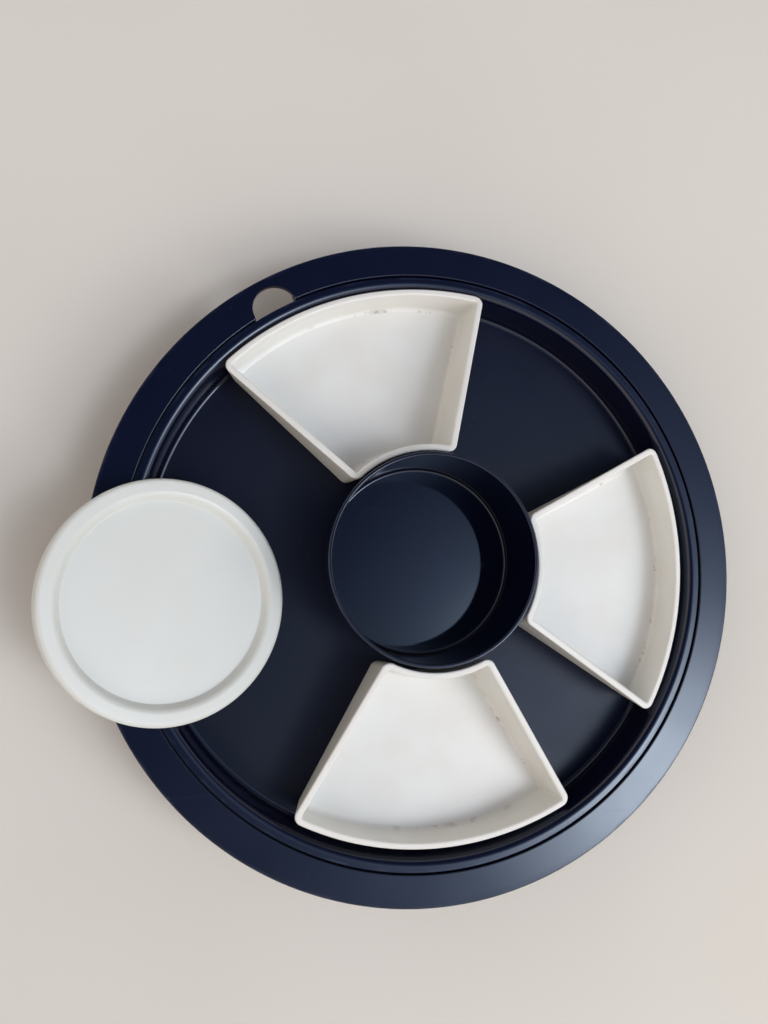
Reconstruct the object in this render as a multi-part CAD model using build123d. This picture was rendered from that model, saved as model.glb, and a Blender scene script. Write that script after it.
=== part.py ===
from build123d import *
import math
import os

# Chip and dip server: a deep base platter, a drop-in serving tray, a dip bowl with its seal,
# and wedge-shaped dishes. Millimetres, +Z up, origin on the table under the platter's axis.

# Base platter: flat brim with a turned-down lip, a ledge for the tray, a deep pan and a foot ring
BRIM_R = 170.0
BRIM_Z = 42.0
BRIM_T = 2.8
BRIM_FALL_R = 167.0
BRIM_FALL = 1.0
BRIM_CROWN_R = 12.0
BRIM_EDGE_ROUND = 1.4
LIP_DROP = 6.0
LIP_T = 2.4
LIP_BEND_R = 1.2
STEP_R = 153.8
STEP_ROUND = 0.8
STEP_UNDER_BEVEL = 1.5
LEDGE_DEPTH = 3.6
PAN_TOP_R = 149.8
PAN_FOOT_R = 147.8
PAN_T = 2.6
PAN_FLOOR_Z = 4.6
PAN_BEND_R = 11.0
FOOT_RING_R = 122.0
FOOT_RING_T = 4.0
FINGER_HOLE_R = 11.7
FINGER_HOLE_AXIS_R = 153.6
FINGER_HOLE_ANGLE = 121.2

# Serving tray
TRAY_RIM_R = 153.1
TRAY_RIM_T = 2.6
TRAY_RIM_ROUND = 1.0
TRAY_MOUTH_R = 146.6
TRAY_MOUTH_ROUND = 3.8
TRAY_FLOOR_Z = 18.5
TRAY_FLOOR_R = 146.0
TRAY_T = 2.2
TRAY_BEND_R = 2.6

# Dip bowl, with a small bead around its mouth that the seal grips
BOWL_PLACE = (-2.0, 2.7)
BOWL_RIM_R = 53.2
BOWL_RIM_ROUND = 0.8
BOWL_HEIGHT = 43.5
BOWL_T = 2.0
BOWL_BEAD_H = 3.2
BOWL_BEAD_OUT = 0.6
BOWL_FOOT_R = 52.0
BOWL_FOOT_ROUND = 1.5
BOWL_FLOOR_T = 2.2
BOWL_BEND_R = 3.0
BOWL_RECESS_R = 44.0
BOWL_RECESS_H = 0.8

# Wedge dish, in its own frame: X runs outwards along the dish, and its sides meet near the origin.
# Its plan widens from the foot to the top of the block that it is cut from.
DISH_BLOCK_H = 44.0
DISH_FOOT_HALF_ANGLE = 29.7
DISH_TOP_HALF_ANGLE = 32.2
DISH_FOOT_APEX_X = 1.5
DISH_TOP_APEX_X = 1.9
DISH_OUTER_CENTRE_X = -2.1
DISH_FOOT_OUTER_R = 140.6
DISH_TOP_OUTER_R = 143.8
DISH_INNER_CENTRE_X = -1.4
DISH_FOOT_INNER_R = 54.8
DISH_TOP_INNER_R = 52.4
DISH_CORNER_R = 4.6
DISH_WALL_T = 3.4
DISH_FLOOR_Z = 6.2
DISH_FLOOR_T = 2.2
DISH_FOOT_ROUND = 2.0
DISH_OUTER_RIM_H = 22.5
DISH_RIM_SLOPE = 9.4
DISH_RIM_ROUND = 0.7

# Where each dish lies on the tray: direction of its middle line, and the place of its own origin
DISH_PLACES = {
    "wedge_dish_top": (107.25, -1.9, 6.1),
    "wedge_dish_right": (-3.6, 2.0, 0.75),
    "wedge_dish_bottom": (-89.6, -0.3, -1.7),
}

# Bowl seal, in its own frame: Z is its axis, and the lower edge of its skirt is at Z = 0
SEAL_R = 59.0
SEAL_H = 9.0
SEAL_T = 1.6
SEAL_SHOULDER_R = 3.2
SEAL_SHOULDER_INNER_R = 1.4
SEAL_WELL_R = 51.6
SEAL_WELL_ROUND = 1.2
SEAL_WELL_FLOOR_R = 47.4
SEAL_WELL_BEND_R = 1.0
SEAL_WELL_DEPTH = 4.6
SEAL_WELL_SIDE_SHIFT = 0.65
SEAL_GRIP_R = 54.0
SEAL_GRIP_H = 5.4

# How the seal leans: inner edge on the tray floor, outer side up against the tray's rim
SEAL_LEAN = 21.0
SEAL_ANGLE = 187.2
SEAL_AXIS_R = 133.5


def turned(outline: list, rounds: dict) -> Part:
    """Turn an outline of (radius, height) points about Z, with the named corners rounded."""
    face = make_face(Polyline(*outline, close=True))
    for (radius, height), round_r in rounds.items():
        corner = face.vertices().sort_by_distance((radius, height, 0))[0]
        face = fillet(corner, round_r)
    return revolve(Plane.XZ * face, Axis.Z)


def base_platter() -> Part:
    """Deep pan with a brim, a ledge for the tray, a foot ring and a finger hole."""
    ledge_z = BRIM_Z - LEDGE_DEPTH
    under_brim_z = BRIM_Z - BRIM_T
    edge_z = BRIM_Z - BRIM_FALL
    lip_z = BRIM_Z - LIP_DROP
    lip_inner_r = BRIM_R - LIP_T
    under_ledge_z = ledge_z - BRIM_T
    step_outer_r = STEP_R + BRIM_T
    wall_r = PAN_TOP_R + PAN_T
    wall_foot_r = PAN_FOOT_R + PAN_T
    under_floor_z = PAN_FLOOR_Z - PAN_T
    foot_inner_r = FOOT_RING_R - FOOT_RING_T
    outline = [
        (0, PAN_FLOOR_Z),
        (PAN_FOOT_R, PAN_FLOOR_Z),
        (PAN_TOP_R, ledge_z),
        (STEP_R, ledge_z),
        (STEP_R, BRIM_Z),
        (BRIM_FALL_R, BRIM_Z),
        (BRIM_R, edge_z),
        (BRIM_R, lip_z),
        (lip_inner_r, lip_z),
        (lip_inner_r, under_brim_z),
        (step_outer_r, under_brim_z),
        (step_outer_r, under_ledge_z + STEP_UNDER_BEVEL),
        (step_outer_r - STEP_UNDER_BEVEL, under_ledge_z),
        (wall_r, under_ledge_z),
        (wall_foot_r, under_floor_z),
        (FOOT_RING_R, under_floor_z),
        (FOOT_RING_R, 0),
        (foot_inner_r, 0),
        (foot_inner_r, under_floor_z),
        (0, under_floor_z),
    ]
    rounds = {
        (PAN_FOOT_R, PAN_FLOOR_Z): PAN_BEND_R,
        (wall_foot_r, under_floor_z): PAN_BEND_R + PAN_T,
        (STEP_R, BRIM_Z): STEP_ROUND,
        (BRIM_FALL_R, BRIM_Z): BRIM_CROWN_R,
        (BRIM_R, edge_z): BRIM_EDGE_ROUND,
        (lip_inner_r, under_brim_z): LIP_BEND_R,
    }
    pan = turned(outline, rounds)
    hole = Cylinder(FINGER_HOLE_R, BRIM_Z, align=(Align.CENTER, Align.CENTER, Align.MIN))
    hole_low_z = under_ledge_z - BRIM_T
    hole_place = Rot(0, 0, FINGER_HOLE_ANGLE) * Pos(FINGER_HOLE_AXIS_R, 0, hole_low_z)
    return pan - hole_place * hole


def serving_tray() -> Part:
    """Flat-floored tray whose rim lies on the ledge of the base."""
    under_rim_z = BRIM_Z - LEDGE_DEPTH
    rim_z = under_rim_z + TRAY_RIM_T
    under_floor_z = TRAY_FLOOR_Z - TRAY_T
    wall_foot_r = TRAY_FLOOR_R + TRAY_T
    outline = [
        (0, TRAY_FLOOR_Z),
        (TRAY_FLOOR_R, TRAY_FLOOR_Z),
        (TRAY_MOUTH_R, rim_z),
        (TRAY_RIM_R, rim_z),
        (TRAY_RIM_R, under_rim_z),
        (TRAY_MOUTH_R + TRAY_T, under_rim_z),
        (wall_foot_r, under_floor_z),
        (0, under_floor_z),
    ]
    rounds = {
        (TRAY_FLOOR_R, TRAY_FLOOR_Z): TRAY_BEND_R,
        (wall_foot_r, under_floor_z): TRAY_BEND_R + TRAY_T,
        (TRAY_MOUTH_R, rim_z): TRAY_MOUTH_ROUND,
        (TRAY_RIM_R, rim_z): TRAY_RIM_ROUND,
    }
    return turned(outline, rounds)


def dip_bowl() -> Part:
    """Straight-sided bowl with a beaded rim for the seal and a shallow recess underneath."""
    side_r = BOWL_RIM_R - BOWL_BEAD_OUT
    bead_z = BOWL_HEIGHT - BOWL_BEAD_H
    mouth_r = BOWL_RIM_R - BOWL_T
    floor_r = BOWL_FOOT_R - BOWL_T
    outline = [
        (0, BOWL_FLOOR_T),
        (floor_r, BOWL_FLOOR_T),
        (mouth_r, BOWL_HEIGHT),
        (BOWL_RIM_R, BOWL_HEIGHT),
        (BOWL_RIM_R, bead_z),
        (side_r, bead_z - BOWL_BEAD_OUT),
        (BOWL_FOOT_R, 0),
        (BOWL_RECESS_R, 0),
        (BOWL_RECESS_R, BOWL_RECESS_H),
        (0, BOWL_RECESS_H),
    ]
    rounds = {
        (floor_r, BOWL_FLOOR_T): BOWL_BEND_R,
        (mouth_r, BOWL_HEIGHT): BOWL_RIM_ROUND,
        (BOWL_RIM_R, BOWL_HEIGHT): BOWL_RIM_ROUND,
        (BOWL_FOOT_R, 0): BOWL_FOOT_ROUND,
    }
    return Pos(*BOWL_PLACE, TRAY_FLOOR_Z) * turned(outline, rounds)


def between(foot: float, top: float, height: float) -> float:
    """Value at a height, between its values at the foot and at the top of the block."""
    return foot + (top - foot) * height / DISH_BLOCK_H


def dish_plan(inset: float, height: float) -> Sketch:
    """Plan of the dish at a height, set in from its outer walls."""
    half_angle = between(DISH_FOOT_HALF_ANGLE, DISH_TOP_HALF_ANGLE, height)
    apex_x = between(DISH_FOOT_APEX_X, DISH_TOP_APEX_X, height)
    outer_r = between(DISH_FOOT_OUTER_R, DISH_TOP_OUTER_R, height)
    inner_r = between(DISH_FOOT_INNER_R, DISH_TOP_INNER_R, height)
    reach = 2 * outer_r
    spread = reach * math.tan(math.radians(half_angle))
    far_x = apex_x + reach
    sector = make_face(Polyline((apex_x, 0), (far_x, -spread), (far_x, spread), close=True))
    plan = sector & Pos(DISH_OUTER_CENTRE_X, 0) * Circle(outer_r)
    plan -= Pos(DISH_INNER_CENTRE_X, 0) * Circle(inner_r)
    plan = fillet(plan.vertices(), DISH_CORNER_R)
    return Pos(0, 0, height) * (offset(plan, -inset) if inset else plan)


def dish_block(inset: float, low_z: float, high_z: float) -> Part:
    """Block with the dish's plan between two heights, set in from its outer walls."""
    return loft([dish_plan(inset, low_z), dish_plan(inset, high_z)], ruled=True)


def wedge_dish() -> Part:
    """Dish with flared walls, a floor raised on a foot skirt, and a rim that rises towards the bowl."""
    dish = dish_block(0, 0, DISH_BLOCK_H)
    dish = fillet(dish.faces().sort_by(Axis.Z)[0].edges(), DISH_FOOT_ROUND)
    dish -= dish_block(DISH_WALL_T, DISH_FLOOR_Z, DISH_BLOCK_H)
    dish -= dish_block(DISH_WALL_T, 0, DISH_FLOOR_Z - DISH_FLOOR_T)
    slope = math.radians(DISH_RIM_SLOPE)
    outer_x = DISH_OUTER_CENTRE_X + DISH_TOP_OUTER_R
    rim = Plane(
        origin=(outer_x, 0, DISH_OUTER_RIM_H),
        x_dir=(0, 1, 0),
        z_dir=(math.sin(slope), 0, math.cos(slope)),
    )
    dish = split(dish, rim, keep=Keep.BOTTOM)
    rim_face = dish.faces().sort_by(Axis(rim.origin, rim.z_dir))[-1]
    return fillet(rim_face.edges(), DISH_RIM_ROUND)


def bowl_seal() -> Part:
    """Press-on lid: sunken middle, a raised ring, and a grip rib that closes on the bowl's bead."""
    well_z = SEAL_H - SEAL_WELL_DEPTH
    under_well_z = well_z - SEAL_T
    under_ring_z = SEAL_H - SEAL_T
    skirt_r = SEAL_R - SEAL_T
    grip_outer_r = SEAL_GRIP_R + SEAL_T
    grip_z = SEAL_H - SEAL_GRIP_H
    outline = [
        (0, well_z),
        (SEAL_WELL_FLOOR_R, well_z),
        (SEAL_WELL_R, SEAL_H),
        (SEAL_R, SEAL_H),
        (SEAL_R, 0),
        (skirt_r, 0),
        (skirt_r, under_ring_z),
        (grip_outer_r, under_ring_z),
        (grip_outer_r, grip_z),
        (SEAL_GRIP_R, grip_z),
        (SEAL_GRIP_R, under_ring_z),
        (SEAL_WELL_R + SEAL_WELL_SIDE_SHIFT, under_ring_z),
        (SEAL_WELL_FLOOR_R + SEAL_WELL_SIDE_SHIFT, under_well_z),
        (0, under_well_z),
    ]
    rounds = {
        (SEAL_R, SEAL_H): SEAL_SHOULDER_R,
        (SEAL_WELL_R, SEAL_H): SEAL_WELL_ROUND,
        (SEAL_WELL_FLOOR_R, well_z): SEAL_WELL_BEND_R,
        (skirt_r, under_ring_z): SEAL_SHOULDER_INNER_R,
    }
    seal = turned(outline, rounds)
    low_edge_z = TRAY_FLOOR_Z + SEAL_R * math.sin(math.radians(SEAL_LEAN))
    leaning = Rot(0, 0, SEAL_ANGLE) * Pos(SEAL_AXIS_R, 0, low_edge_z) * Rot(0, -SEAL_LEAN, 0)
    return leaning * seal


def main() -> None:
    """Build every piece in its place and write one file per piece."""
    os.makedirs("parts", exist_ok=True)
    pieces = {
        "base_platter": base_platter(),
        "serving_tray": serving_tray(),
        "dip_bowl": dip_bowl(),
        "bowl_seal": bowl_seal(),
    }
    dish = wedge_dish()
    for name, (angle, x, y) in DISH_PLACES.items():
        pieces[name] = Pos(x, y, TRAY_FLOOR_Z) * Rot(0, 0, angle) * dish
    for name, piece in pieces.items():
        piece.label = name
        export_step(piece, f"parts/{name}.step")


main()
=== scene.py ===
import logging
import math
from dataclasses import dataclass
from enum import Enum
from typing import Any, Optional, Protocol, Union

import bmesh
import bpy
from mathutils import Matrix, Vector


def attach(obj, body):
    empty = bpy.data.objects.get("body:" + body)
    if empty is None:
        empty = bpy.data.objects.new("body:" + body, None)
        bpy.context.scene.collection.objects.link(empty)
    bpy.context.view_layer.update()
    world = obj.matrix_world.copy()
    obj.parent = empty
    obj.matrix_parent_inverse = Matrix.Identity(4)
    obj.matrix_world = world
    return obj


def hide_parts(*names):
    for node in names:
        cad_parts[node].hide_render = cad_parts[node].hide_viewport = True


# Chip and dip server: the fine forms and finishes of its mouldings, studio light and camera
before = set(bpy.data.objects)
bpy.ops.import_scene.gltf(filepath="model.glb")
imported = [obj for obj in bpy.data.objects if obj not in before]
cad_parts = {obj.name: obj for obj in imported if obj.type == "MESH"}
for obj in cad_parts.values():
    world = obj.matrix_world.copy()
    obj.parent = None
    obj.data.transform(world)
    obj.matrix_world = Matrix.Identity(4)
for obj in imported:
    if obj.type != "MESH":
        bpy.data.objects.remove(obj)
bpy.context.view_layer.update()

LOG = logging.getLogger("chip_and_dip_server")
MM = 0.001

Colour = tuple[float, float, float, float]
Socket = bpy.types.NodeSocket
Key = Union[str, int]
Corner = tuple[float, float, float]

# How finely round forms are divided, and how a flat face is held flat beside a rounded edge
TURN_STEPS = 288
ARC_STEP = math.radians(8.0)
HOLD_MM = 0.3
LEAST_RUN_MM = 3 * HOLD_MM
SHARP_ANGLE = math.radians(32.0)

# Places that several pieces share: the tray's floor, the dishes' floors above it, and two axes
TRAY_FLOOR_MM = 18.5
DISH_FLOOR_MM = 6.2
PLATTER_AXIS_MM = (0.0, 0.0)
BOWL_AXIS_MM = (-2.0, 2.7)
UP = Vector((0.0, 0.0, 1.0))

# The sRGB curve: a straight foot, and a power curve above it
SRGB_FOOT = 0.04045
SRGB_FOOT_SLOPE = 12.92
SRGB_OFFSET = 0.055
SRGB_POWER = 2.4

# Sockets of Blender's colour Mix node, which shares its names between types
MIX_FACTOR = 0
MIX_A = 6
MIX_B = 7
MIX_RESULT = 2


class Piece(Enum):
    """The part's mouldings, by the names of their CAD nodes."""

    BASE = "base_platter"
    TRAY = "serving_tray"
    BOWL = "dip_bowl"
    SEAL = "bowl_seal"
    DISH_TOP = "wedge_dish_top"
    DISH_RIGHT = "wedge_dish_right"
    DISH_BOTTOM = "wedge_dish_bottom"


def linear(hex_colour: str) -> Colour:
    """Turns an sRGB colour into linear light.

    Args:
        hex_colour: Colour written as "#RRGGBB".

    Returns:
        Linear red, green and blue, and a full alpha.
    """
    channels = [int(hex_colour[i : i + 2], 16) / 255 for i in (1, 3, 5)]
    straight = [
        c / SRGB_FOOT_SLOPE if c <= SRGB_FOOT else ((c + SRGB_OFFSET) / (1 + SRGB_OFFSET)) ** SRGB_POWER
        for c in channels
    ]
    return (straight[0], straight[1], straight[2], 1.0)


def per_metre(size_mm: float) -> float:
    """Gives the scale of a pattern from its real size in millimetres."""
    return 1.0 / (size_mm * MM)


def direction(azimuth_deg: float, elevation_deg: float) -> Vector:
    """Gives the unit vector towards a point of the room.

    Args:
        azimuth_deg: Angle from +X towards +Y.
        elevation_deg: Angle above the floor.

    Returns:
        The unit vector.
    """
    azimuth = math.radians(azimuth_deg)
    elevation = math.radians(elevation_deg)
    level = math.cos(elevation)
    return Vector((math.cos(azimuth) * level, math.sin(azimuth) * level, math.sin(elevation)))


def add_node(tree: bpy.types.NodeTree, kind: str, settings: dict[Key, Any]) -> bpy.types.Node:
    """Adds a node with its settings and links.

    Args:
        tree: Node tree that takes the node.
        kind: Blender's name of the node type.
        settings: Values by property name, or else by the name or number of an input. A value that
            is a socket is linked to the input, and any other is set on it.

    Returns:
        The new node.
    """
    made = tree.nodes.new(kind)
    for key, value in settings.items():
        if isinstance(value, Socket):
            tree.links.new(value, made.inputs[key])
        elif isinstance(key, str) and key in made.bl_rna.properties:
            setattr(made, key, value)
        else:
            made.inputs[key].default_value = value
    return made


def softened(outline: list[Corner]) -> list[Vector]:
    """Rounds the corners of an outline.

    Args:
        outline: Corners from the top of the axis to its foot, each with its radius from the axis,
            its height and how far it is rounded, in millimetres.

    Returns:
        Points along the outline, with one close to each end of a straight run, so that flat faces
        stay flat to the eye beside a rounded edge.
    """
    points: list[Vector] = []
    for i, (radius, height, round_mm) in enumerate(outline):
        here = Vector((radius, height))
        if not round_mm:
            points.append(here)
            continue
        back = (Vector(outline[i - 1][:2]) - here).normalized()
        ahead = (Vector(outline[i + 1][:2]) - here).normalized()
        half = back.angle(ahead) / 2
        centre = here + (back + ahead).normalized() * round_mm / math.sin(half)
        reach = round_mm / math.tan(half)
        start = (here + back * reach - centre).normalized()
        end = (here + ahead * reach - centre).normalized()
        steps = math.ceil(start.angle(end) / ARC_STEP)
        points += [centre + start.slerp(end, k / steps) * round_mm for k in range(steps + 1)]
    held = [points[0]]
    for before, after in zip(points, points[1:]):
        run = after - before
        if run.length > LEAST_RUN_MM:
            hold = run.normalized() * HOLD_MM
            held += [before + hold, after - hold]
        held.append(after)
    return held


def skinned(name: str, rings: list[list[Vector]]) -> bpy.types.Mesh:
    """Spans a closed skin over rings of points.

    Args:
        name: Name of the mesh.
        rings: Closed lines one after the other, in millimetres, each with as many points as the
            others, or with one point where the skin closes on the axis.

    Returns:
        The mesh, in metres.
    """
    shape = bmesh.new()
    lines = [[shape.verts.new(point * MM) for point in ring] for ring in rings]
    steps = max(len(line) for line in lines)
    for line, following in zip(lines, lines[1:]):
        for k in range(steps):
            pair = [line[(k - 1) % len(line)], line[k % len(line)]]
            pair += [following[k % len(following)], following[(k - 1) % len(following)]]
            shape.faces.new(tuple(dict.fromkeys(pair)))
    for end in (lines[0], lines[-1]):
        if len(end) > 1:
            shape.faces.new(end)
    bmesh.ops.recalc_face_normals(shape, faces=shape.faces)
    mesh = bpy.data.meshes.new(name)
    shape.to_mesh(mesh)
    shape.free()
    return mesh


def turned(name: str, outline: list[Corner]) -> bpy.types.Mesh:
    """Turns an outline about the Z axis.

    Args:
        name: Name of the mesh.
        outline: Corners from the top of the axis to its foot, as softened() takes them.

    Returns:
        The closed mesh, in metres.
    """
    turns = [Matrix.Rotation(math.tau * k / TURN_STEPS, 3, "Z") for k in range(TURN_STEPS)]
    rings: list[list[Vector]] = []
    for point in softened(outline):
        start = Vector((point.x, 0.0, point.y))
        rings.append([turn @ start for turn in turns] if point.x else [start])
    return skinned(name, rings)


def seat(mesh: bpy.types.Mesh, piece: Piece, material: bpy.types.Material) -> None:
    """Puts a finished mesh in the place of its CAD node, on the same body.

    Args:
        mesh: The mesh, where the piece stands at rest.
        piece: The moulding that it shows.
        material: The finish that it gets.
    """
    mesh.shade_smooth()
    mesh.set_sharp_from_angle(angle=SHARP_ANGLE)
    mesh.materials.append(material)
    made = bpy.data.objects.new(f"{piece.value}_moulding", mesh)
    bpy.context.scene.collection.objects.link(made)
    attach(made, piece.value)
    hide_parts(piece.value)
    LOG.info("%s built and dressed in %s", piece.value, material.name)


@dataclass
class Coat:
    """A surface, or the room, while its layers are put on: where it is, and what the shader gets."""

    tree: bpy.types.NodeTree
    place: Socket
    colour: Union[Colour, Socket]
    roughness: Union[float, Socket] = 0.0
    height: Union[float, Socket] = 0.0

    def fade(self, value: Socket, start: float, end: float, top: float = 1.0) -> Socket:
        """Turns a value into a mask.

        Args:
            value: What is measured.
            start: Value where the mask is 0.
            end: Value where the mask is full.
            top: The mask where it is full.

        Returns:
            The mask, smooth between start and end.
        """
        settings = {
            "interpolation_type": "SMOOTHSTEP",
            "Value": value,
            "From Min": start,
            "From Max": end,
            "To Max": top,
        }
        return add_node(self.tree, "ShaderNodeMapRange", settings).outputs[0]

    def noise(self, size_mm: float, detail: float, place: Optional[Socket] = None) -> Socket:
        """Gives a cloud pattern.

        Args:
            size_mm: Size of one cloud.
            detail: How many times it is broken up more finely.
            place: Where to read it, if not straight on the surface.

        Returns:
            The pattern, about 0.2 to 0.8.
        """
        settings = {"Vector": place or self.place, "Scale": per_metre(size_mm), "Detail": detail}
        return add_node(self.tree, "ShaderNodeTexNoise", settings).outputs[0]

    def product(self, first: Socket, second: Union[float, Socket]) -> Socket:
        """Multiplies two masks."""
        settings = {"operation": "MULTIPLY", 0: first, 1: second}
        return add_node(self.tree, "ShaderNodeMath", settings).outputs[0]

    def blend(self, mask: Socket, colour: Colour) -> None:
        """Lays a linear colour over the coat where the mask is 1."""
        settings = {"data_type": "RGBA", MIX_FACTOR: mask, MIX_A: self.colour, MIX_B: colour}
        self.colour = add_node(self.tree, "ShaderNodeMix", settings).outputs[MIX_RESULT]

    def roughen(self, mask: Socket, gain: float) -> None:
        """Adds to the roughness where the mask is 1."""
        settings = {"operation": "MULTIPLY_ADD", 0: mask, 1: gain, 2: self.roughness}
        self.roughness = add_node(self.tree, "ShaderNodeMath", settings).outputs[0]

    def raise_height(self, mask: Socket, depth_mm: float) -> None:
        """Adds to the height, in metres, where the mask is 1."""
        settings = {"operation": "MULTIPLY_ADD", 0: mask, 1: depth_mm * MM, 2: self.height}
        self.height = add_node(self.tree, "ShaderNodeMath", settings).outputs[0]


class Layer(Protocol):
    """Anything that can be laid on a coat."""

    def lay(self, coat: Coat) -> None:
        """Adds this layer to the coat."""


@dataclass(frozen=True)
class Clouding:
    """Slow, soft change of colour and gloss, as a surface shows where it was wiped."""

    size_mm: float
    colour: str
    share: float
    roughness_gain: float
    detail: float = 1.0
    clear_at: float = 0.25
    full_at: float = 0.75

    def lay(self, coat: Coat) -> None:
        """Adds the clouds to the coat.

        Args:
            coat: The coat that takes them.
        """
        cloud = coat.fade(coat.noise(self.size_mm, self.detail), self.clear_at, self.full_at)
        coat.blend(coat.product(cloud, self.share), linear(self.colour))
        coat.roughen(cloud, self.roughness_gain)


@dataclass(frozen=True)
class MouldGrain:
    """The even bite of the mould's blasted or spark-eroded steel, a height only."""

    size_mm: float
    depth_mm: float
    detail: float = 2.0

    def lay(self, coat: Coat) -> None:
        """Adds the grain to the coat."""
        coat.raise_height(coat.noise(self.size_mm, self.detail), self.depth_mm)


@dataclass(frozen=True)
class Scuffs:
    """Hairline rubs in one direction, duller than the skin: paler on dark plastic, greyer on white."""

    length_mm: float
    width_mm: float
    angle_deg: float
    clear_at: float
    colour: str
    share: float
    roughness_gain: float
    detail: float = 1.0
    edge: float = 0.08

    def lay(self, coat: Coat) -> None:
        """Adds the rubs to the coat.

        Args:
            coat: The coat that takes them.
        """
        squeeze = self.length_mm / self.width_mm
        settings = {
            "Vector": coat.place,
            "Rotation": (0.0, 0.0, math.radians(self.angle_deg)),
            "Scale": (1.0, squeeze, 1.0),
        }
        stretched = add_node(coat.tree, "ShaderNodeMapping", settings).outputs[0]
        streaks = coat.noise(self.length_mm, self.detail, stretched)
        lines = coat.fade(streaks, self.clear_at, self.clear_at + self.edge)
        coat.blend(coat.product(lines, self.share), linear(self.colour))
        coat.roughen(lines, self.roughness_gain)


@dataclass(frozen=True)
class Specks:
    """Scattered dots on the surface: dust on dark plastic, crumbs on white."""

    spacing_mm: float
    radius_mm: float
    colour: str
    share: float
    core_share: float = 0.4
    drift_spacings: float = 6.0
    drift_detail: float = 1.0
    drift_clear_at: float = 0.45
    drift_full_at: float = 0.6

    def lay(self, coat: Coat) -> None:
        """Adds the dots to the coat, in drifts.

        Args:
            coat: The coat that takes them.
        """
        settings = {"Vector": coat.place, "Scale": per_metre(self.spacing_mm)}
        cells = add_node(coat.tree, "ShaderNodeTexVoronoi", settings).outputs["Distance"]
        edge = self.radius_mm / self.spacing_mm
        dots = coat.fade(cells, edge, self.core_share * edge, self.share)
        cloud = coat.noise(self.drift_spacings * self.spacing_mm, self.drift_detail)
        drifts = coat.fade(cloud, self.drift_clear_at, self.drift_full_at)
        coat.blend(coat.product(dots, drifts), linear(self.colour))


@dataclass(frozen=True)
class CornerGrimeShade:
    """Grime that settles in the bend between a level floor and its walls, and painted shade in that bend,
    in broken stretches.
    """

    floor_mm: float
    reach_mm: float
    patch_mm: float
    drift_mm: float
    colour: str
    share: float
    core_share: float = 0.2
    start_mm: float = 0.06
    steep_z: float = 0.1
    upward_z: float = 0.4
    patch_detail: float = 2.0
    drift_detail: float = 1.0
    clear_at: float = 0.5
    patch_full_at: float = 0.66
    drift_full_at: float = 0.64

    def lay(self, coat: Coat) -> None:
        """Adds the grime and painted shade to the coat, just above the floor and only where the bend looks
        upwards.

        Args:
            coat: The coat that takes it.
        """
        up = add_node(coat.tree, "ShaderNodeSeparateXYZ", {0: coat.place}).outputs["Z"]
        normal = add_node(coat.tree, "ShaderNodeTexCoord", {}).outputs["Normal"]
        tilt = add_node(coat.tree, "ShaderNodeSeparateXYZ", {0: normal}).outputs["Z"]
        upward = coat.fade(tilt, self.steep_z, self.upward_z)
        high = (self.floor_mm + self.reach_mm) * MM
        core = (self.floor_mm + self.core_share * self.reach_mm) * MM
        line = coat.fade(up, high, core, self.share)
        above = coat.fade(up, self.floor_mm * MM, (self.floor_mm + self.start_mm) * MM)
        patches = coat.fade(coat.noise(self.patch_mm, self.patch_detail), self.clear_at, self.patch_full_at)
        drifts = coat.fade(coat.noise(self.drift_mm, self.drift_detail), self.clear_at, self.drift_full_at)
        bend = coat.product(coat.product(line, above), upward)
        coat.blend(coat.product(bend, coat.product(patches, drifts)), linear(self.colour))


@dataclass(frozen=True)
class RubbedRingHighlight:
    """A round edge rubbed paler and duller by hands and stacking, in broken stretches; the paler colour
    also paints a highlight along the edge.
    """

    centre_mm: tuple[float, float]
    radius_mm: float
    width_mm: float
    patch_mm: float
    colour: str
    share: float
    roughness_gain: float
    patch_detail: float = 3.0
    patch_clear_at: float = 0.42
    patch_full_at: float = 0.66

    def lay(self, coat: Coat) -> None:
        """Adds the rubbed edge and its painted highlight to the coat.

        Args:
            coat: The coat that takes it.
        """
        centre = (self.centre_mm[0] * MM, self.centre_mm[1] * MM, 0.0)
        settings = {"operation": "SUBTRACT", 0: coat.place, 1: centre}
        shifted = add_node(coat.tree, "ShaderNodeVectorMath", settings).outputs[0]
        settings = {"operation": "MULTIPLY", 0: shifted, 1: (1.0, 1.0, 0.0)}
        level = add_node(coat.tree, "ShaderNodeVectorMath", settings).outputs[0]
        settings = {"operation": "LENGTH", 0: level}
        radius = add_node(coat.tree, "ShaderNodeVectorMath", settings).outputs["Value"]
        inner = coat.fade(radius, (self.radius_mm - self.width_mm) * MM, self.radius_mm * MM)
        outer = coat.fade(radius, (self.radius_mm + self.width_mm) * MM, self.radius_mm * MM)
        cloud = coat.noise(self.patch_mm, self.patch_detail)
        patches = coat.fade(cloud, self.patch_clear_at, self.patch_full_at)
        worn_highlight = coat.product(coat.product(inner, outer), patches)
        coat.blend(coat.product(worn_highlight, self.share), linear(self.colour))
        coat.roughen(worn_highlight, self.roughness_gain)


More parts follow.
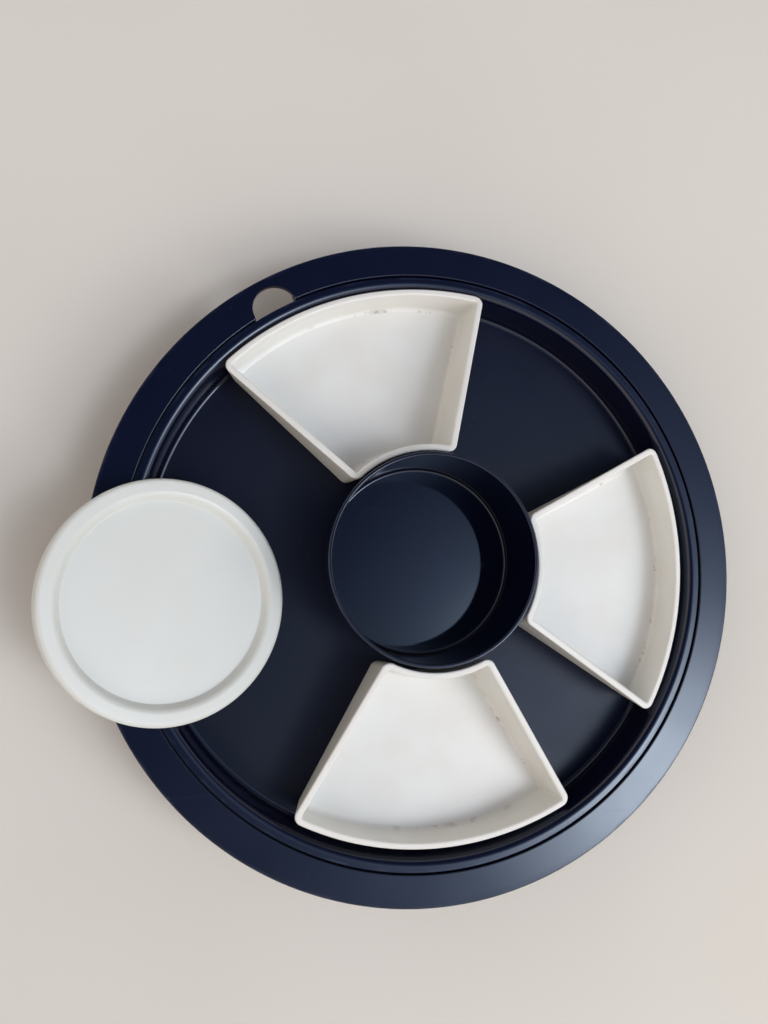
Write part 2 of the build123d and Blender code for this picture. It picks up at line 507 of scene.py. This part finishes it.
@dataclass(frozen=True)
class Finish:
    """How a surface is finished: its body colour and gloss, and the layers on its skin."""

    name: str
    colour: str
    roughness: float
    ior: float
    layers: tuple[Layer, ...]
    sheen_tint: str = "#FFFFFF"

    def material(self) -> bpy.types.Material:
        """Builds the material with all its layers, the first time that it is asked for.

        Returns:
            The finished material.
        """
        known = bpy.data.materials.get(self.name)
        if known:
            return known
        made = bpy.data.materials.new(self.name)
        made.use_nodes = True
        tree = made.node_tree
        tree.nodes.clear()
        place = add_node(tree, "ShaderNodeTexCoord", {}).outputs["Object"]
        coat = Coat(tree, place, linear(self.colour), self.roughness)
        for layer in self.layers:
            layer.lay(coat)
        skin = {
            "Base Color": coat.colour,
            "Roughness": coat.roughness,
            "IOR": self.ior,
            "Specular Tint": linear(self.sheen_tint),
        }
        if isinstance(coat.height, Socket):
            # The coat's height is in metres already, so the bump takes it as it is
            bump = add_node(tree, "ShaderNodeBump", {"Distance": 1.0, "Height": coat.height})
            skin["Normal"] = bump.outputs[0]
        shader = add_node(tree, "ShaderNodeBsdfPrincipled", skin)
        add_node(tree, "ShaderNodeOutputMaterial", {"Surface": shader.outputs[0]})
        return made


# Colours that the navy mouldings share
NAVY = "#05081F"
NAVY_SHEEN = "#E7F3FF"
NAVY_CLOUD = "#090C24"
NAVY_SCUFF = "#1A2038"
# Paler navy of rubbed edges: wear, and the painted highlight of those edges
NAVY_RUB_HIGHLIGHT = "#2C3350"
NAVY_DUST = "#7A7D86"

# Polypropylene dyed through, moulded against blasted steel: nearly black until it catches the
# window, then a soft pale sheen with a clouded edge. The real grain is about 0.1 mm; it is drawn
# coarser so that it shows.
NAVY_SATIN = Finish(
    name="polypropylene_navy_satin_moulded",
    sheen_tint=NAVY_SHEEN,
    colour=NAVY,
    roughness=0.16,
    ior=1.57,
    layers=(
        Clouding(size_mm=36.0, colour=NAVY_CLOUD, share=0.6, roughness_gain=0.04),
        MouldGrain(size_mm=0.7, depth_mm=0.003),
        Scuffs(
            length_mm=60.0,
            width_mm=0.8,
            angle_deg=24.0,
            clear_at=0.72,
            colour=NAVY_SCUFF,
            share=0.2,
            roughness_gain=0.08,
        ),
        Scuffs(
            length_mm=46.0,
            width_mm=0.7,
            angle_deg=118.0,
            clear_at=0.73,
            colour=NAVY_SCUFF,
            share=0.2,
            roughness_gain=0.08,
        ),
        # Paler rubbed ring on the brim's outer edge: wear, and a painted highlight along that edge
        RubbedRingHighlight(
            centre_mm=PLATTER_AXIS_MM,
            radius_mm=169.2,
            width_mm=1.4,
            patch_mm=14.0,
            colour=NAVY_RUB_HIGHLIGHT,
            share=0.25,
            roughness_gain=0.08,
        ),
        # Paler rubbed ring on the tray's rim: wear, and a painted highlight along that rim
        RubbedRingHighlight(
            centre_mm=PLATTER_AXIS_MM,
            radius_mm=152.4,
            width_mm=1.0,
            patch_mm=12.0,
            colour=NAVY_RUB_HIGHLIGHT,
            share=0.3,
            roughness_gain=0.1,
        ),
        Specks(spacing_mm=5.0, radius_mm=0.24, colour="#5E616C", share=0.45),
    ),
)

# The same polypropylene where the mould is spark-eroded, on the floor that food lies on: the bite
# scatters most of the sheen, so it stays darker and duller than the rim around it. The real bite is
# about 0.2 mm; it is drawn coarser so that it shows.
NAVY_MATT = Finish(
    name="polypropylene_navy_matt_moulded",
    sheen_tint=NAVY_SHEEN,
    colour=NAVY,
    roughness=0.38,
    ior=1.42,
    layers=(
        Clouding(size_mm=30.0, colour=NAVY_CLOUD, share=0.6, roughness_gain=0.04),
        MouldGrain(size_mm=0.9, depth_mm=0.009),
        Scuffs(
            length_mm=54.0,
            width_mm=0.8,
            angle_deg=-38.0,
            clear_at=0.71,
            colour=NAVY_SCUFF,
            share=0.4,
            roughness_gain=0.06,
        ),
        Specks(spacing_mm=4.2, radius_mm=0.28, colour=NAVY_DUST, share=0.5),
    ),
)

# Styrene plastic moulded against polished steel: it mirrors its own walls and the window, with a
# few dull rubs on the floor.
NAVY_GLOSS = Finish(
    name="styrene_navy_gloss_moulded",
    sheen_tint=NAVY_SHEEN,
    colour="#03051A",
    roughness=0.05,
    ior=1.62,
    layers=(
        Clouding(size_mm=24.0, colour="#080B22", share=0.5, roughness_gain=0.02),
        Scuffs(
            length_mm=26.0,
            width_mm=0.6,
            angle_deg=62.0,
            clear_at=0.7,
            colour="#20263E",
            share=0.35,
            roughness_gain=0.12,
        ),
        # Paler rubbed ring on the bowl's rim: wear, and a painted highlight along that rim
        RubbedRingHighlight(
            centre_mm=BOWL_AXIS_MM,
            radius_mm=52.9,
            width_mm=0.8,
            patch_mm=9.0,
            colour=NAVY_RUB_HIGHLIGHT,
            share=0.3,
            roughness_gain=0.1,
        ),
        Specks(spacing_mm=4.6, radius_mm=0.24, colour=NAVY_DUST, share=0.4),
    ),
)

# White polypropylene, satin: reads as soft china white, with crumbs on the floor, and grime with painted
# shade along the foot of the walls.
WHITE_SATIN = Finish(
    name="polypropylene_white_satin_moulded",
    colour="#E3E4E0",
    roughness=0.3,
    ior=1.5,
    layers=(
        Clouding(size_mm=22.0, colour="#DEDCD6", share=0.6, roughness_gain=0.04),
        MouldGrain(size_mm=0.8, depth_mm=0.003),
        Scuffs(
            length_mm=22.0,
            width_mm=0.6,
            angle_deg=35.0,
            clear_at=0.72,
            colour="#D8D5CE",
            share=0.5,
            roughness_gain=0.1,
        ),
        # Broad pale brown band in the bend: painted shade along the foot of the walls, broken up with grime
        CornerGrimeShade(
            floor_mm=TRAY_FLOOR_MM + DISH_FLOOR_MM,
            reach_mm=2.0,
            patch_mm=9.0,
            drift_mm=34.0,
            colour="#A69B8C",
            share=0.45,
        ),
        # Thin dark patches in the same bend: grime, over the painted shade
        CornerGrimeShade(
            floor_mm=TRAY_FLOOR_MM + DISH_FLOOR_MM,
            reach_mm=1.0,
            patch_mm=2.8,
            drift_mm=21.0,
            colour="#5C564D",
            share=0.55,
        ),
        Specks(spacing_mm=5.2, radius_mm=0.26, colour="#5F5A52", share=0.6),
    ),
)

# Low-density polyethylene, the flexible plastic of press-on lids: waxier and greyer than the
# dishes, with rubs from stacking.
WHITE_WAXY = Finish(
    name="polyethylene_white_waxy_moulded",
    colour="#D8DBD6",
    roughness=0.3,
    ior=1.51,
    layers=(
        Clouding(size_mm=26.0, colour="#D3D6D0", share=0.6, roughness_gain=0.04),
        MouldGrain(size_mm=0.9, depth_mm=0.004),
        Scuffs(
            length_mm=24.0,
            width_mm=0.6,
            angle_deg=32.0,
            clear_at=0.72,
            colour="#CFCEC8",
            share=0.3,
            roughness_gain=0.1,
        ),
        Specks(spacing_mm=6.0, radius_mm=0.26, colour="#6A665E", share=0.5),
    ),
)

# Pale painted board under the part: a matt, faintly clouded ground that takes the shadow
PALE_BOARD = Finish(
    name="board_pale_matt_painted",
    colour="#D9D5CD",
    roughness=0.8,
    ior=1.4,
    layers=(Clouding(size_mm=180.0, colour="#D3CEC5", share=0.5, roughness_gain=0.05),),
)


@dataclass
class BasePlatter:
    """The deep pan with its brim, ledge, foot ring and finger hole."""

    finish: Finish = NAVY_SATIN
    slot: str = "navy_satin"
    brim_r_mm: float = 170.0
    brim_z_mm: float = 42.0
    brim_t_mm: float = 2.8
    fall_r_mm: float = 167.0
    fall_mm: float = 0.06
    crown_round_mm: float = 6.0
    edge_round_mm: float = 0.7
    lip_drop_mm: float = 6.0
    lip_t_mm: float = 2.4
    lip_bend_mm: float = 1.2
    step_r_mm: float = 153.8
    step_round_mm: float = 0.5
    step_under_bevel_mm: float = 1.5
    ledge_depth_mm: float = 3.6
    pan_top_r_mm: float = 149.8
    pan_foot_r_mm: float = 147.8
    pan_t_mm: float = 2.6
    pan_floor_mm: float = 4.6
    pan_bend_mm: float = 11.0
    foot_r_mm: float = 122.0
    foot_t_mm: float = 4.0
    foot_round_mm: float = 0.4
    gate_r_mm: float = 2.2
    gate_h_mm: float = 0.7
    hole_r_mm: float = 11.7
    hole_axis_r_mm: float = 153.6
    hole_angle_deg: float = 121.2
    hole_steps: int = 96

    def outline(self) -> list[Corner]:
        """Gives the pan's section, from the middle of its floor around to the gate mark below.

        Returns:
            Its corners, as turned() takes them.
        """
        ledge = self.brim_z_mm - self.ledge_depth_mm
        under_brim = self.brim_z_mm - self.brim_t_mm
        edge = self.brim_z_mm - self.fall_mm
        lip = self.brim_z_mm - self.lip_drop_mm
        lip_r = self.brim_r_mm - self.lip_t_mm
        under_ledge = ledge - self.brim_t_mm
        step_r = self.step_r_mm + self.brim_t_mm
        bevel = self.step_under_bevel_mm
        under = self.pan_floor_mm - self.pan_t_mm
        foot_in = self.foot_r_mm - self.foot_t_mm
        return [
            (0.0, self.pan_floor_mm, 0.0),
            (self.pan_foot_r_mm, self.pan_floor_mm, self.pan_bend_mm),
            (self.pan_top_r_mm, ledge, 0.0),
            (self.step_r_mm, ledge, 0.0),
            (self.step_r_mm, self.brim_z_mm, self.step_round_mm),
            (self.fall_r_mm, self.brim_z_mm, self.crown_round_mm),
            (self.brim_r_mm, edge, self.edge_round_mm),
            (self.brim_r_mm, lip, 0.0),
            (lip_r, lip, 0.0),
            (lip_r, under_brim, self.lip_bend_mm),
            (step_r, under_brim, 0.0),
            (step_r, under_ledge + bevel, 0.0),
            (step_r - bevel, under_ledge, 0.0),
            (self.pan_top_r_mm + self.pan_t_mm, under_ledge, 0.0),
            (self.pan_foot_r_mm + self.pan_t_mm, under, self.pan_bend_mm + self.pan_t_mm),
            (self.foot_r_mm, under, 0.0),
            (self.foot_r_mm, 0.0, self.foot_round_mm),
            (foot_in, 0.0, self.foot_round_mm),
            (foot_in, under, 0.0),
            (self.gate_r_mm, under, 0.0),
            (self.gate_r_mm, under - self.gate_h_mm, 0.0),
            (0.0, under - self.gate_h_mm, 0.0),
        ]

    def pierced(self, pan: bpy.types.Mesh) -> bpy.types.Mesh:
        """Cuts the finger hole through the brim and ledge.

        Args:
            pan: The turned pan.

        Returns:
            A new mesh with the hole.
        """
        # The drill starts below the ledge and ends as far above the brim
        low = self.brim_z_mm - self.ledge_depth_mm - 2 * self.brim_t_mm
        depth = 2 * (self.brim_z_mm - low)
        angle = math.radians(self.hole_angle_deg)
        place = Vector(
            (
                self.hole_axis_r_mm * math.cos(angle),
                self.hole_axis_r_mm * math.sin(angle),
                low + depth / 2,
            )
        )
        shape = bmesh.new()
        bmesh.ops.create_cone(
            shape,
            cap_ends=True,
            segments=self.hole_steps,
            radius1=self.hole_r_mm * MM,
            radius2=self.hole_r_mm * MM,
            depth=depth * MM,
            matrix=Matrix.Translation(place * MM),
        )
        drill_mesh = bpy.data.meshes.new("drill")
        shape.to_mesh(drill_mesh)
        shape.free()
        drill = bpy.data.objects.new("drill", drill_mesh)
        blank = bpy.data.objects.new("blank", pan)
        for thing in (drill, blank):
            bpy.context.scene.collection.objects.link(thing)
        cut = blank.modifiers.new("finger_hole", "BOOLEAN")
        cut.operation = "DIFFERENCE"
        cut.solver = "EXACT"
        cut.object = drill
        graph = bpy.context.evaluated_depsgraph_get()
        mesh = bpy.data.meshes.new_from_object(blank.evaluated_get(graph))
        for thing in (blank, drill):
            bpy.data.objects.remove(thing)
        return mesh

    def build(self) -> None:
        """Turns, pierces and dresses the platter."""
        mesh = self.pierced(turned("base_platter_pan", self.outline()))
        seat(mesh, Piece.BASE, self.finish.material())


@dataclass
class ServingTray:
    """The flat-floored tray that drops into the platter."""

    finish: Finish = NAVY_SATIN
    floor_finish: Finish = NAVY_MATT
    slot: str = "navy_matt"
    rim_r_mm: float = 153.1
    rim_z_mm: float = 41.0
    rim_t_mm: float = 2.6
    rim_round_mm: float = 0.3
    mouth_r_mm: float = 146.6
    mouth_round_mm: float = 3.9
    floor_z_mm: float = TRAY_FLOOR_MM
    floor_r_mm: float = 146.0
    wall_t_mm: float = 2.2
    bend_mm: float = 2.6
    flat_mm: float = 0.01

    def outline(self) -> list[Corner]:
        """Gives the tray's section, from the middle of its floor around to its underside.

        Returns:
            Its corners, as turned() takes them.
        """
        under_rim = self.rim_z_mm - self.rim_t_mm
        under = self.floor_z_mm - self.wall_t_mm
        return [
            (0.0, self.floor_z_mm, 0.0),
            (self.floor_r_mm, self.floor_z_mm, self.bend_mm),
            (self.mouth_r_mm, self.rim_z_mm, self.mouth_round_mm),
            (self.rim_r_mm, self.rim_z_mm, self.rim_round_mm),
            (self.rim_r_mm, under_rim, 0.0),
            (self.mouth_r_mm + self.wall_t_mm, under_rim, 0.0),
            (self.floor_r_mm + self.wall_t_mm, under, self.bend_mm + self.wall_t_mm),
            (0.0, under, 0.0),
        ]

    def build(self) -> None:
        """Turns and dresses the tray, its flat floor in a finish of its own."""
        mesh = turned("serving_tray", self.outline())
        seat(mesh, Piece.TRAY, self.finish.material())
        floor_index = len(mesh.materials)
        mesh.materials.append(self.floor_finish.material())
        for face in mesh.polygons:
            if abs(face.center.z / MM - self.floor_z_mm) < self.flat_mm:
                face.material_index = floor_index


@dataclass
class DipBowl:
    """The straight-sided bowl, with a bead around its mouth and a floor that cooled crowned."""

    finish: Finish = NAVY_GLOSS
    slot: str = "navy_gloss"
    place_mm: tuple[float, float, float] = (*BOWL_AXIS_MM, TRAY_FLOOR_MM)
    rim_r_mm: float = 53.2
    rim_round_mm: float = 0.8
    height_mm: float = 43.5
    wall_t_mm: float = 2.0
    bead_h_mm: float = 3.2
    bead_out_mm: float = 0.6
    foot_r_mm: float = 52.0
    foot_round_mm: float = 1.5
    floor_t_mm: float = 2.2
    bend_mm: float = 1.4
    crown_mm: float = 1.0
    crown_steps: int = 12
    recess_r_mm: float = 44.0
    recess_h_mm: float = 0.8

    def outline(self) -> list[Corner]:
        """Gives the bowl's section, from the crown of its floor around to its recessed foot.

        Returns:
            Its corners, as turned() takes them.
        """
        bead_z = self.height_mm - self.bead_h_mm
        floor_r = self.foot_r_mm - self.wall_t_mm
        flat_r = floor_r - self.bend_mm
        shares = [k / self.crown_steps for k in range(self.crown_steps)]
        crown = [
            (flat_r * share, self.floor_t_mm + self.crown_mm * (1 - share * share), 0.0)
            for share in shares
        ]
        return crown + [
            (floor_r, self.floor_t_mm, self.bend_mm),
            (self.rim_r_mm - self.wall_t_mm, self.height_mm, self.rim_round_mm),
            (self.rim_r_mm, self.height_mm, self.rim_round_mm),
            (self.rim_r_mm, bead_z, 0.0),
            (self.rim_r_mm - self.bead_out_mm, bead_z - self.bead_out_mm, 0.0),
            (self.foot_r_mm, 0.0, self.foot_round_mm),
            (self.recess_r_mm, 0.0, 0.0),
            (self.recess_r_mm, self.recess_h_mm, 0.0),
            (0.0, self.recess_h_mm, 0.0),
        ]

    def build(self) -> None:
        """Turns and dresses the bowl, where it stands on the tray."""
        mesh = turned("dip_bowl", self.outline())
        mesh.transform(Matrix.Translation(Vector(self.place_mm) * MM))
        seat(mesh, Piece.BOWL, self.finish.material())


@dataclass
class BowlSeal:
    """The press-on lid of the bowl, leaning on the tray's rim."""

    finish: Finish = WHITE_WAXY
    slot: str = "white_satin"
    rim_r_mm: float = 59.0
    height_mm: float = 9.0
    wall_t_mm: float = 1.6
    shoulder_mm: float = 2.4
    shoulder_inner_mm: float = 1.4
    well_r_mm: float = 51.0
    well_round_mm: float = 3.0
    well_floor_r_mm: float = 48.4
    well_bend_mm: float = 0.5
    well_depth_mm: float = 4.6
    well_side_shift_mm: float = 0.65
    grip_r_mm: float = 54.0
    grip_h_mm: float = 5.4
    gate_r_mm: float = 1.6
    gate_h_mm: float = 0.5
    lean_deg: float = 21.0
    angle_deg: float = 187.2
    axis_r_mm: float = 133.5
    tray_floor_mm: float = TRAY_FLOOR_MM

    def outline(self) -> list[Corner]:
        """Gives the lid's section, from the middle of its well around to the gate mark below.

        Returns:
            Its corners, as turned() takes them.
        """
        well = self.height_mm - self.well_depth_mm
        under_well = well - self.wall_t_mm
        under_ring = self.height_mm - self.wall_t_mm
        skirt_r = self.rim_r_mm - self.wall_t_mm
        grip_out = self.grip_r_mm + self.wall_t_mm
        grip_z = self.height_mm - self.grip_h_mm
        return [
            (0.0, well, 0.0),
            (self.well_floor_r_mm, well, self.well_bend_mm),
            (self.well_r_mm, self.height_mm, self.well_round_mm),
            (self.rim_r_mm, self.height_mm, self.shoulder_mm),
            (self.rim_r_mm, 0.0, 0.0),
            (skirt_r, 0.0, 0.0),
            (skirt_r, under_ring, self.shoulder_inner_mm),
            (grip_out, under_ring, 0.0),
            (grip_out, grip_z, 0.0),
            (self.grip_r_mm, grip_z, 0.0),
            (self.grip_r_mm, under_ring, 0.0),
            (self.well_r_mm + self.well_side_shift_mm, under_ring, 0.0),
            (self.well_floor_r_mm + self.well_side_shift_mm, under_well, 0.0),
            (self.gate_r_mm, under_well, 0.0),
            (self.gate_r_mm, under_well - self.gate_h_mm, 0.0),
            (0.0, under_well - self.gate_h_mm, 0.0),
        ]

    def leaning(self) -> Matrix:
        """Gives the turn and shift from the lid's own frame to where it leans.

        Returns:
            The placement, in metres.
        """
        lean = math.radians(self.lean_deg)
        low_edge = self.tray_floor_mm + self.rim_r_mm * math.sin(lean)
        around = Matrix.Rotation(math.radians(self.angle_deg), 4, "Z")
        out = Matrix.Translation(Vector((self.axis_r_mm, 0.0, low_edge)) * MM)
        return around @ out @ Matrix.Rotation(-lean, 4, "Y")

    def build(self) -> None:
        """Turns and dresses the lid, where it leans."""
        mesh = turned("bowl_seal", self.outline())
        mesh.transform(self.leaning())
        seat(mesh, Piece.SEAL, self.finish.material())


@dataclass(frozen=True)
class WedgePlan:
    """A wedge seen from above: two straight sides between an inner and an outer arc."""

    half_angle_deg: float
    apex_mm: float
    outer_r_mm: float
    inner_r_mm: float
    outer_centre_mm: float = -2.1
    inner_centre_mm: float = -1.4
    corner_mm: float = 4.6
    least_corner_mm: float = 0.9
    arc_steps: int = 36
    corner_steps: int = 10

    @staticmethod
    def sweep(centre: Vector, start: Vector, end: Vector, radius: float, steps: int) -> list[Vector]:
        """Gives the points of an arc.

        Args:
            centre: Middle of the arc.
            start: Direction in which it starts.
            end: Direction in which it ends.
            radius: Its radius.
            steps: How many pieces it is divided into.

        Returns:
            The points, both ends included.
        """
        ways = [start.normalized().slerp(end.normalized(), k / steps) for k in range(steps + 1)]
        return [centre + way * radius for way in ways]

    @staticmethod
    def corner_centre(start: Vector, along: Vector, axis: Vector, radius: float) -> Vector:
        """Gives the point of a line at a distance from an axis.

        Args:
            start: A point of the line.
            along: Its unit direction.
            axis: The axis.
            radius: Distance of the point from the axis.

        Returns:
            The point, the further one along the line.
        """
        back = start - axis
        lean = along.dot(back)
        return start + along * (math.sqrt(lean * lean - back.length_squared + radius * radius) - lean)

    def points(self, inset_mm: float) -> list[Vector]:
        """Gives the closed outline, set in from the wedge's outside.

        Args:
            inset_mm: How far it is set in.

        Returns:
            Its points, always the same number in the same order.
        """
        half = math.radians(self.half_angle_deg)
        along = Vector((math.cos(half), math.sin(half)))
        inward = Vector((along.y, -along.x))
        corner = max(self.corner_mm - inset_mm, self.least_corner_mm)
        start = Vector((self.apex_mm, 0.0)) + inward * (inset_mm + corner)
        inner_axis = Vector((self.inner_centre_mm, 0.0))
        outer_axis = Vector((self.outer_centre_mm, 0.0))
        inner_r = self.inner_r_mm + inset_mm
        outer_r = self.outer_r_mm - inset_mm
        near = self.corner_centre(start, along, inner_axis, inner_r + corner)
        far = self.corner_centre(start, along, outer_axis, outer_r - corner)
        middle = Vector((1.0, 0.0))
        side = self.sweep(near, inner_axis - near, -inward, corner, self.corner_steps)
        ends = self.sweep(far, -inward, far - outer_axis, corner, self.corner_steps)
        hold = along * HOLD_MM
        upper = self.sweep(inner_axis, middle, near - inner_axis, inner_r, self.arc_steps)[:-1]
        upper += side + [side[-1] + hold, ends[0] - hold] + ends
        upper += self.sweep(outer_axis, far - outer_axis, middle, outer_r, self.arc_steps)[1:]
        return upper + [Vector((point.x, -point.y)) for point in reversed(upper[1:-1])]


@dataclass(frozen=True)
class DishPlace:
    """Where a dish lies on the tray: the direction of its middle line, and its own origin."""

    piece: Piece
    angle_deg: float
    x_mm: float
    y_mm: float


@dataclass
class WedgeDishes:
    """The loose wedge dishes, all from one mould, with the soft bends inside that it leaves."""

    finish: Finish = WHITE_SATIN
    slot: str = "white_satin"
    block_h_mm: float = 44.0
    foot: WedgePlan = WedgePlan(half_angle_deg=29.7, apex_mm=1.5, outer_r_mm=140.6, inner_r_mm=54.8)
    top: WedgePlan = WedgePlan(half_angle_deg=32.2, apex_mm=1.9, outer_r_mm=143.8, inner_r_mm=52.4)
    wall_t_mm: float = 3.4
    floor_z_mm: float = DISH_FLOOR_MM
    floor_t_mm: float = 2.2
    floor_bend_mm: float = 2.4
    under_bend_mm: float = 0.6
    foot_round_mm: float = 2.0
    foot_inner_round_mm: float = 0.5
    rim_round_mm: float = 1.1
    outer_rim_h_mm: float = 22.5
    outer_rim_x_mm: float = 141.7
    rim_slope_deg: float = 9.4
    lap_mm: float = 4.0
    tray_floor_mm: float = TRAY_FLOOR_MM
    places: tuple[DishPlace, ...] = (
        DishPlace(Piece.DISH_TOP, angle_deg=107.25, x_mm=-1.9, y_mm=6.1),
        DishPlace(Piece.DISH_RIGHT, angle_deg=-3.6, x_mm=2.0, y_mm=0.75),
        DishPlace(Piece.DISH_BOTTOM, angle_deg=-89.6, x_mm=-0.3, y_mm=-1.7),
    )

    def section(self) -> list[Vector]:
        """Gives the wall's section, from the floor over the rim to the underside.

        Returns:
            Its points, each with its inset from the outside and its height.
        """
        under = self.floor_z_mm - self.floor_t_mm
        lap = self.wall_t_mm + self.lap_mm
        return softened(
            [
                (lap, self.floor_z_mm, 0.0),
                (self.wall_t_mm, self.floor_z_mm, self.floor_bend_mm),
                (self.wall_t_mm, self.outer_rim_h_mm, self.rim_round_mm),
                (0.0, self.outer_rim_h_mm, self.rim_round_mm),
                (0.0, 0.0, self.foot_round_mm),
                (self.wall_t_mm, 0.0, self.foot_inner_round_mm),
                (self.wall_t_mm, under, self.under_bend_mm),
                (lap, under, 0.0),
            ]
        )

    def ring(self, inset_mm: float, height_mm: float) -> list[Vector]:
        """Gives one closed line around the dish.

        Args:
            inset_mm: How far the line is set in from the outside.
            height_mm: Its height at the outer wall. In the upper half it rises with the sloping rim.

        Returns:
            Its points, in millimetres.
        """
        slope = math.tan(math.radians(self.rim_slope_deg))
        line: list[Vector] = []
        for low, high in zip(self.foot.points(inset_mm), self.top.points(inset_mm)):
            flare = (high - low) / self.block_h_mm
            height = height_mm
            if height_mm > self.outer_rim_h_mm / 2:
                rise = height_mm + (self.outer_rim_x_mm - low.x) * slope
                height = rise / (1 + flare.x * slope)
            line.append((low + flare * height).to_3d() + Vector((0.0, 0.0, height)))
        return line

    def build(self) -> None:
        """Builds and dresses each dish where it lies on the tray."""
        shared = self.finish.material()
        for place in self.places:
            rings = [self.ring(point.x, point.y) for point in self.section()]
            mesh = skinned(place.piece.value, rings)
            around = Matrix.Rotation(math.radians(place.angle_deg), 4, "Z")
            spot = Vector((place.x_mm, place.y_mm, self.tray_floor_mm))
            mesh.transform(Matrix.Translation(spot * MM) @ around)
            seat(mesh, place.piece, shared)


@dataclass
class Studio:
    """Pale floor, one soft window light in a pale room, and the camera."""

    floor_half_m: float = 40.0
    floor_finish: Finish = PALE_BOARD
    key_azimuth_deg: float = -30.0
    key_elevation_deg: float = 40.0
    key_distance_m: float = 1.6
    key_width_m: float = 0.38
    key_height_m: float = 0.56
    key_watts: float = 6.0
    key_colour: tuple[float, float, float] = (1.0, 0.97, 0.92)
    window_azimuth_deg: float = -26.0
    window_elevation_deg: float = 57.0
    window_colour: Colour = (13.4, 13.9, 14.7, 1.0)
    window_power: float = 110.0
    glow_colour: Colour = (1.2, 1.5, 2.05, 1.0)
    glow_power: float = 15.0
    ceiling_colour: Colour = (0.06, 0.08, 0.13, 1.0)
    ceiling_azimuth_deg: float = 60.0
    ceiling_elevation_deg: float = 72.0
    ceiling_core_deg: float = 36.0
    ceiling_edge_deg: float = 54.0
    wall_colour: Colour = (1.21, 1.07, 0.95, 1.0)
    skirting_colour: Colour = (0.25, 0.225, 0.205, 1.0)
    skirting_low_deg: float = 2.0
    skirting_high_deg: float = 32.0
    backdrop_colour: Colour = (0.7, 0.68, 0.64, 1.0)
    camera_place_m: tuple[float, float, float] = (-0.0982, -0.0076, 0.4282)
    camera_turn_rad: tuple[float, float, float] = (0.089, -0.1889, 0.0)
    camera_lens_mm: float = 27.07
    camera_near_m: float = 0.01

    def floor(self) -> None:
        """Lays the floor."""
        mesh = bpy.data.meshes.new("floor")
        shape = bmesh.new()
        bmesh.ops.create_grid(shape, x_segments=1, y_segments=1, size=self.floor_half_m)
        shape.to_mesh(mesh)
        shape.free()
        floor = bpy.data.objects.new("floor", mesh)
        bpy.context.scene.collection.objects.link(floor)
        mesh.materials.append(self.floor_finish.material())

    def key_light(self) -> None:
        """Hangs a soft lamp under the window, which sharpens the shadows and leaves no mirror image."""
        lamp = bpy.data.lights.new("window", "AREA")
        lamp.shape = "RECTANGLE"
        lamp.size = self.key_width_m
        lamp.size_y = self.key_height_m
        lamp.energy = self.key_watts
        lamp.color = self.key_colour
        holder = bpy.data.objects.new("window", lamp)
        out = direction(self.key_azimuth_deg, self.key_elevation_deg)
        holder.location = out * self.key_distance_m
        holder.rotation_mode = "QUATERNION"
        holder.rotation_quaternion = (-out).to_track_quat("-Z", "Y")
        holder.visible_camera = False
        holder.visible_glossy = False
        bpy.context.scene.collection.objects.link(holder)

    @staticmethod
    def facing(room: Coat, target: Vector) -> Socket:
        """Gives the cosine between the direction looked in and a target."""
        settings = {"operation": "DOT_PRODUCT", 0: room.place, 1: target}
        return add_node(room.tree, "ShaderNodeVectorMath", settings).outputs["Value"]

    def room(self) -> None:
        """Fills the world: walls that are dim low down and overhead, a window, and a plain backdrop."""
        world = bpy.data.worlds.new("room")
        world.use_nodes = True
        bpy.context.scene.world = world
        tree = world.node_tree
        tree.nodes.clear()
        around = add_node(tree, "ShaderNodeTexCoord", {}).outputs["Generated"]
        room = Coat(tree, around, self.skirting_colour)
        rise = self.facing(room, UP)
        low = math.sin(math.radians(self.skirting_low_deg))
        high = math.sin(math.radians(self.skirting_high_deg))
        room.blend(room.fade(rise, low, high), self.wall_colour)
        above = direction(self.ceiling_azimuth_deg, self.ceiling_elevation_deg)
        edge = math.cos(math.radians(self.ceiling_edge_deg))
        core = math.cos(math.radians(self.ceiling_core_deg))
        room.blend(room.fade(self.facing(room, above), edge, core), self.ceiling_colour)
        window = direction(self.window_azimuth_deg, self.window_elevation_deg)
        settings = {"operation": "MAXIMUM", 0: self.facing(room, window), 1: 0.0}
        ahead = add_node(tree, "ShaderNodeMath", settings).outputs[0]
        lobes = ((self.glow_power, self.glow_colour), (self.window_power, self.window_colour))
        for power, colour in lobes:
            settings = {"operation": "POWER", 0: ahead, 1: power}
            room.blend(add_node(tree, "ShaderNodeMath", settings).outputs[0], colour)
        seen = add_node(tree, "ShaderNodeLightPath", {}).outputs["Is Camera Ray"]
        room.blend(seen, self.backdrop_colour)
        light = add_node(tree, "ShaderNodeBackground", {"Color": room.colour})
        add_node(tree, "ShaderNodeOutputWorld", {"Surface": light.outputs[0]})

    def camera(self) -> None:
        """Sets the camera where the photograph was taken from."""
        lens = bpy.data.cameras.new("camera")
        lens.lens = self.camera_lens_mm
        lens.clip_start = self.camera_near_m
        holder = bpy.data.objects.new("camera", lens)
        turn = Vector(self.camera_turn_rad)
        spin = Matrix.Rotation(turn.length, 4, turn.normalized())
        holder.matrix_world = Matrix.Translation(self.camera_place_m) @ spin
        bpy.context.scene.collection.objects.link(holder)
        bpy.context.scene.camera = holder

    def build(self) -> None:
        """Sets up camera, floor and light."""
        bpy.context.scene.view_settings.view_transform = "Standard"
        self.camera()
        self.floor()
        self.key_light()
        self.room()
        LOG.info("studio ready")


def main() -> None:
    """Builds the studio and dresses every sub-assembly in order."""
    logging.basicConfig(level=logging.INFO, format="%(message)s")
    Studio().build()
    BasePlatter().build()
    ServingTray().build()
    DipBowl().build()
    BowlSeal().build()
    WedgeDishes().build()


if __name__ == "__main__":
    main()
